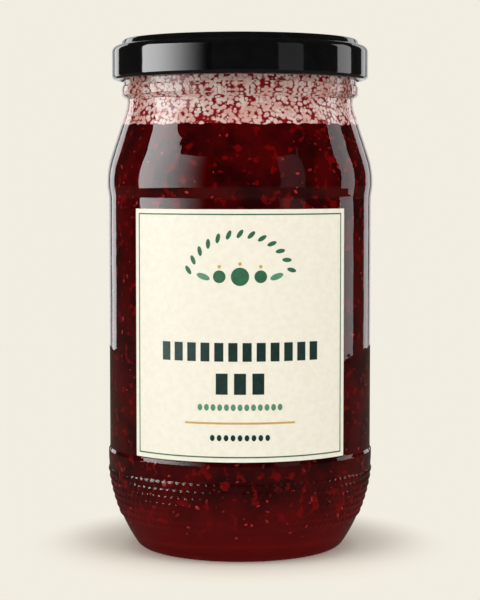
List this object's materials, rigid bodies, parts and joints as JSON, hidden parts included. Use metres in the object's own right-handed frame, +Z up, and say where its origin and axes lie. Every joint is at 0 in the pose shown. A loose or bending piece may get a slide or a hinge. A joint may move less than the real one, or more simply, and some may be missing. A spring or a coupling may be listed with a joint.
{
  "type": "jam jar",
  "caption": "Tall round glass jar of dark red jam, with a pale paper label, a ridged foot and a black twist-off lid.",
  "frame": {"origin": "on the jar's axis, in the plane of the ring that it stands on", "axes": "+Z up along the jar's axis; the label faces -Y"},
  "size_m": [0.0706, 0.0706, 0.135],
  "materials": {
    "clear_glass": "clear, smooth, with moulded beads round the foot",
    "lid_lacquer": "glossy black lacquer on thin steel",
    "jam": "dark red fruit jam with pips and pieces of pulp",
    "froth": "pink froth of small bubbles",
    "label_paper": "smooth uncoated cream paper"
  },
  "bodies": {
    "root": {"jar_glass": "clear_glass", "lid": "lid_lacquer", "jam": "jam", "froth": "froth", "label": "label_paper"}
  },
  "joints": []
}
